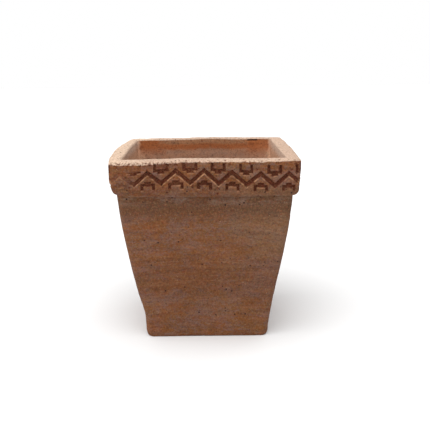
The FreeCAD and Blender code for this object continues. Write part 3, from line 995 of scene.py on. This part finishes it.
class Clay:
    """The nodes of one clay material, and its fields, which are numbers that vary over the surface."""

    def __init__(self, name):
        self.material = bpy.data.materials.new(name)
        self.material.use_nodes = True
        self.nodes = self.material.node_tree.nodes
        self.links = self.material.node_tree.links
        self.shader = self.nodes["Principled BSDF"]
        self.place = self.nodes.new("ShaderNodeTexCoord").outputs["Object"]
        axes = self.nodes.new("ShaderNodeSeparateXYZ")
        self.feed(axes.inputs[0], self.place)
        self.fields = dict(zip("xyz", axes.outputs))
        for label in ("inside", "groove", "crest", "lip"):
            node = self.nodes.new("ShaderNodeAttribute")
            node.attribute_name = label
            self.fields[label] = node.outputs["Fac"]
        self.fields["outside"] = self.math("SUBTRACT", 1.0, self.fields["inside"])

    def feed(self, socket, value):
        """Sets a socket to a number or colour, or links it to another node's output."""
        if isinstance(value, bpy.types.NodeSocket):
            self.links.new(value, socket)
        else:
            socket.default_value = value

    def math(self, operation, a, b=0.0, kind="ShaderNodeMath", output=0):
        node = self.nodes.new(kind)
        node.operation = operation
        self.feed(node.inputs[0], a)
        self.feed(node.inputs[1], b)
        return node.outputs[output]

    def vector(self, operation, a, b, output="Vector"):
        return self.math(operation, a, b, "ShaderNodeVectorMath", output)

    def product(self, first, *others):
        for other in others:
            first = self.math("MULTIPLY", first, other)
        return first

    def swing(self, value, noise, size):
        """The value, swung up and down by half that size at most."""
        return self.math("ADD", value, self.product(self.math("SUBTRACT", noise, 0.5), size))

    def between(self, value, low, high):
        """0 where the value is at low, 1 at high, and a smooth step between."""
        node = self.nodes.new("ShaderNodeMapRange")
        node.interpolation_type = "SMOOTHSTEP"
        self.feed(node.inputs["Value"], value)
        ends = [(low, 0.0), (high, 1.0)]
        for label, (at, to) in zip(("Min", "Max"), sorted(ends)):
            node.inputs["From " + label].default_value = at
            node.inputs["To " + label].default_value = to
        return node.outputs["Result"]

    def over(self, value, reach):
        """0 to 1 over a reach of two values, up and down again over one of four, or else the value itself."""
        if reach is None:
            return value
        coming = self.between(value, *reach[:2])
        return self.product(coming, self.between(value, *reach[:1:-1])) if reach[2:] else coming

    def stretched(self, x, y, z, arch=0.0):
        """The place with each axis scaled, so that patterns run along the small ones, and arched."""
        place = self.vector("MULTIPLY", self.place, (x, y, z))
        if arch:
            square = self.vector("DOT_PRODUCT", self.place, self.place, "Value")
            up = self.nodes.new("ShaderNodeCombineXYZ")
            self.feed(up.inputs["Z"], self.product(square, arch))
            place = self.vector("ADD", place, up.outputs[0])
        return place

    def noise(self, size, detail, roughness=usual_roughness, distortion=0.0, stretch=None):
        """Noise from 0 to 1."""
        node = self.nodes.new("ShaderNodeTexNoise")
        self.feed(node.inputs["Vector"], self.stretched(*stretch) if stretch else self.place)
        settings = {"Scale": 1 / size, "Detail": detail, "Roughness": roughness, "Distortion": distortion}
        for label, value in settings.items():
            node.inputs[label].default_value = value
        return node.outputs["Fac"]

    def specks(self, spacing, size, share):
        """1 in round specks, 0 between."""
        node = self.nodes.new("ShaderNodeTexVoronoi")
        self.feed(node.inputs["Vector"], self.place)
        node.inputs["Scale"].default_value = 1 / spacing
        node.inputs["Randomness"].default_value = 1.0
        cell = self.nodes.new("ShaderNodeSeparateColor")
        self.feed(cell.inputs[0], node.outputs["Color"])
        chosen = self.math("LESS_THAN", cell.outputs[0], share)
        reach = self.product(cell.outputs[1], size / spacing)
        margin = self.math("SUBTRACT", reach, node.outputs["Distance"])
        return self.product(chosen, self.between(margin, 0.0, speck_edge))

    def field(self, name):
        """A field made before, or else the specks or noise of that name."""
        if name not in self.fields:
            make, values = (self.specks, SPECKS) if name in SPECKS else (self.noise, NOISES)
            self.fields[name] = make(*values[name])
        return self.fields[name]

    def at(self, place):
        """1 where all the fields of a place are within their reaches, 0 where one isn't."""
        return self.product(*(self.over(self.field(name), reach) for name, reach in place.items()))

    def mix(self, share, first, second):
        """The first colour, turned to the second by that share."""
        node = self.nodes.new("ShaderNodeMix")
        node.data_type = "RGBA"
        self.feed(node.inputs["Factor"], share)
        # The sockets for colours come after those for numbers and vectors
        self.feed(node.inputs[6], first)
        self.feed(node.inputs[7], second)
        return node.outputs[2]

    def covered(self, colour, layers):
        for rgb, share, place in layers:
            colour = self.mix(self.product(self.at(place), share), colour, linear(*rgb))
        return colour

    def bump(self, height, distance, strength, normal):
        node = self.nodes.new("ShaderNodeBump")
        self.feed(node.inputs["Height"], height)
        node.inputs["Distance"].default_value = distance
        node.inputs["Strength"].default_value = strength
        if normal is not None:
            self.feed(node.inputs["Normal"], normal)
        return node.outputs["Normal"]


def clay_material(name, plain, ruddy):
    """Unglazed terracotta: wiped, streaked, speckled, paler where sand and lime lie on it."""
    clay = Clay(name)
    fields, field = clay.fields, clay.field
    broad = clay.product(field("broad streaks"), broad_streaks_share)
    fine = clay.product(field("fine streaks"), 1 - broad_streaks_share)
    fields["streaks"] = clay.math("ADD", broad, fine)
    fields["out"] = clay.math("ABSOLUTE", clay.math("SUBTRACT", fields["x"], opening_middle))
    for label, (value, noise, size) in SWINGS.items():
        fields[label] = clay.swing(field(value), field(noise), size)
    inner_lime = clay.product(fields["inside"], inner_lime_share)
    fields["limy"] = clay.math("MAXIMUM", clay.at(UNDER_RIM), inner_lime)
    fields["stained"] = clay.math("MAXIMUM", clay.at(TIDE), clay.at(STAINED_CORNERS))

    colour = clay.mix(clay.at(CLOUDED), linear(*plain), linear(*ruddy))
    colour = clay.covered(colour, CLAY_LAYERS)
    colour = clay.mix(clay.at(SANDED), colour, clay.covered(linear(*SAND_RGB), SAND_LAYERS))
    colour = clay.covered(colour, SURFACE_LAYERS)
    clay.feed(clay.shader.inputs["Base Color"], colour)

    rough = clay.product(clay.at(ROUGHER), roughness_spread)
    clay.feed(clay.shader.inputs["Roughness"], clay.math("ADD", rough, least_roughness))
    clay.shader.inputs["Specular IOR Level"].default_value = specular

    fields["raised"] = clay.math("SUBTRACT", field("grog"), field("pit"))
    normal = None
    for label, (distance, strength) in BUMPS.items():
        normal = clay.bump(field(label), distance, strength, normal)
    clay.feed(clay.shader.inputs["Normal"], normal)
    return clay.material


# The pieces

names = ["front", "right", "back", "left"]
walls = ["wall_" + side for side in names]
strips = ["rim_strip_" + side for side in names]

body_clay = clay_material("body_clay", plain=(101, 66, 38), ruddy=(114, 70, 37))
rim_clay = clay_material("rim_clay", plain=(93, 57, 28), ruddy=(106, 61, 30))
coil_clay = clay_material("coil_clay", plain=(118, 80, 56), ruddy=(128, 82, 54))


def place(piece, material, slot, *nodes):
    """Gives a piece its clay and its body, and hides the solids that it stands for."""
    piece.data.materials.append(material)
    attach(piece, "root")
    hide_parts(*nodes)


place(clay_body(), body_clay, "body_clay", "floor_slab", *walls)
place(clay_rim(), rim_clay, "rim_clay", *strips)
for i, side in enumerate(names):
    corner = "corner_coil_" + names[i - 1] + "_" + side
    place(corner_coil(i, corner + "_skin"), coil_clay, "coil_clay", corner)
    seam = "floor_coil_" + side
    place(floor_coil(i, seam + "_skin"), coil_clay, "coil_clay", seam)


# The floor, the light and the camera

floor_reach = 12.0
floor_grey, floor_roughness = 0.79, 0.9
floor_corners = [(x * floor_reach, y * floor_reach, 0) for x, y in [(-1, -1), (1, -1), (1, 1), (-1, 1)]]
floor_mesh = bpy.data.meshes.new("studio_floor")
floor_mesh.from_pydata(floor_corners, [], [(0, 1, 2, 3)])
floor_paint = bpy.data.materials.new("floor_paint")
floor_paint.use_nodes = True
floor_shader = floor_paint.node_tree.nodes["Principled BSDF"]
floor_shader.inputs["Base Color"].default_value = (floor_grey, floor_grey, floor_grey, 1)
floor_shader.inputs["Roughness"].default_value = floor_roughness
floor_mesh.materials.append(floor_paint)
add_object("studio_floor", floor_mesh)

# A white backdrop for the camera, and a dimmer white sky for the light
sky_light = 0.35
world = bpy.data.worlds.new("studio")
world.use_nodes = True
bpy.context.scene.world = world
world_nodes, world_links = world.node_tree.nodes, world.node_tree.links
sky = world_nodes["Background"]
backdrop = world_nodes.new("ShaderNodeBackground")
seen = world_nodes.new("ShaderNodeLightPath")
either = world_nodes.new("ShaderNodeMixShader")
sky.inputs["Color"].default_value = (1, 1, 1, 1)
sky.inputs["Strength"].default_value = sky_light
backdrop.inputs["Color"].default_value = (1, 1, 1, 1)
world_links.new(seen.outputs["Is Camera Ray"], either.inputs[0])
world_links.new(sky.outputs[0], either.inputs[1])
world_links.new(backdrop.outputs[0], either.inputs[2])
world_links.new(either.outputs[0], world_nodes["World Output"].inputs[0])


def sun(name, strength, softness, tilt, turn):
    """A soft distant light: tilt is its angle from straight above, turn the way it comes from."""
    lamp = bpy.data.lights.new(name, "SUN")
    lamp.energy = strength
    lamp.angle = math.radians(softness)
    add_object(name, lamp).rotation_euler = (math.radians(tilt), 0, math.radians(turn))


sun("overhead_softbox", strength=3.3, softness=70, tilt=20, turn=-14)
sun("left_softbox", strength=0.8, softness=60, tilt=70, turn=-78)
sun("back_softbox", strength=0.7, softness=80, tilt=60, turn=165)

# The camera that took the photograph: its place, pitch, roll and focal length in pixels
camera_place = (0.01604, -1.1167, 0.4596)
camera_pitch = 13.48
camera_roll = -0.63
focal_pixels = 627.7
picture_pixels = 430

camera_data = bpy.data.cameras.new("camera")
camera_data.lens = focal_pixels / picture_pixels * camera_data.sensor_width
camera = add_object("camera", camera_data)
tilted = Matrix.Rotation(math.radians(90 - camera_pitch), 4, "X")
rolled = Matrix.Rotation(math.radians(camera_roll), 4, "Z")
camera.matrix_world = Matrix.Translation(camera_place) @ tilted @ rolled
bpy.context.scene.camera = camera
bpy.context.scene.view_settings.view_transform = "Standard"
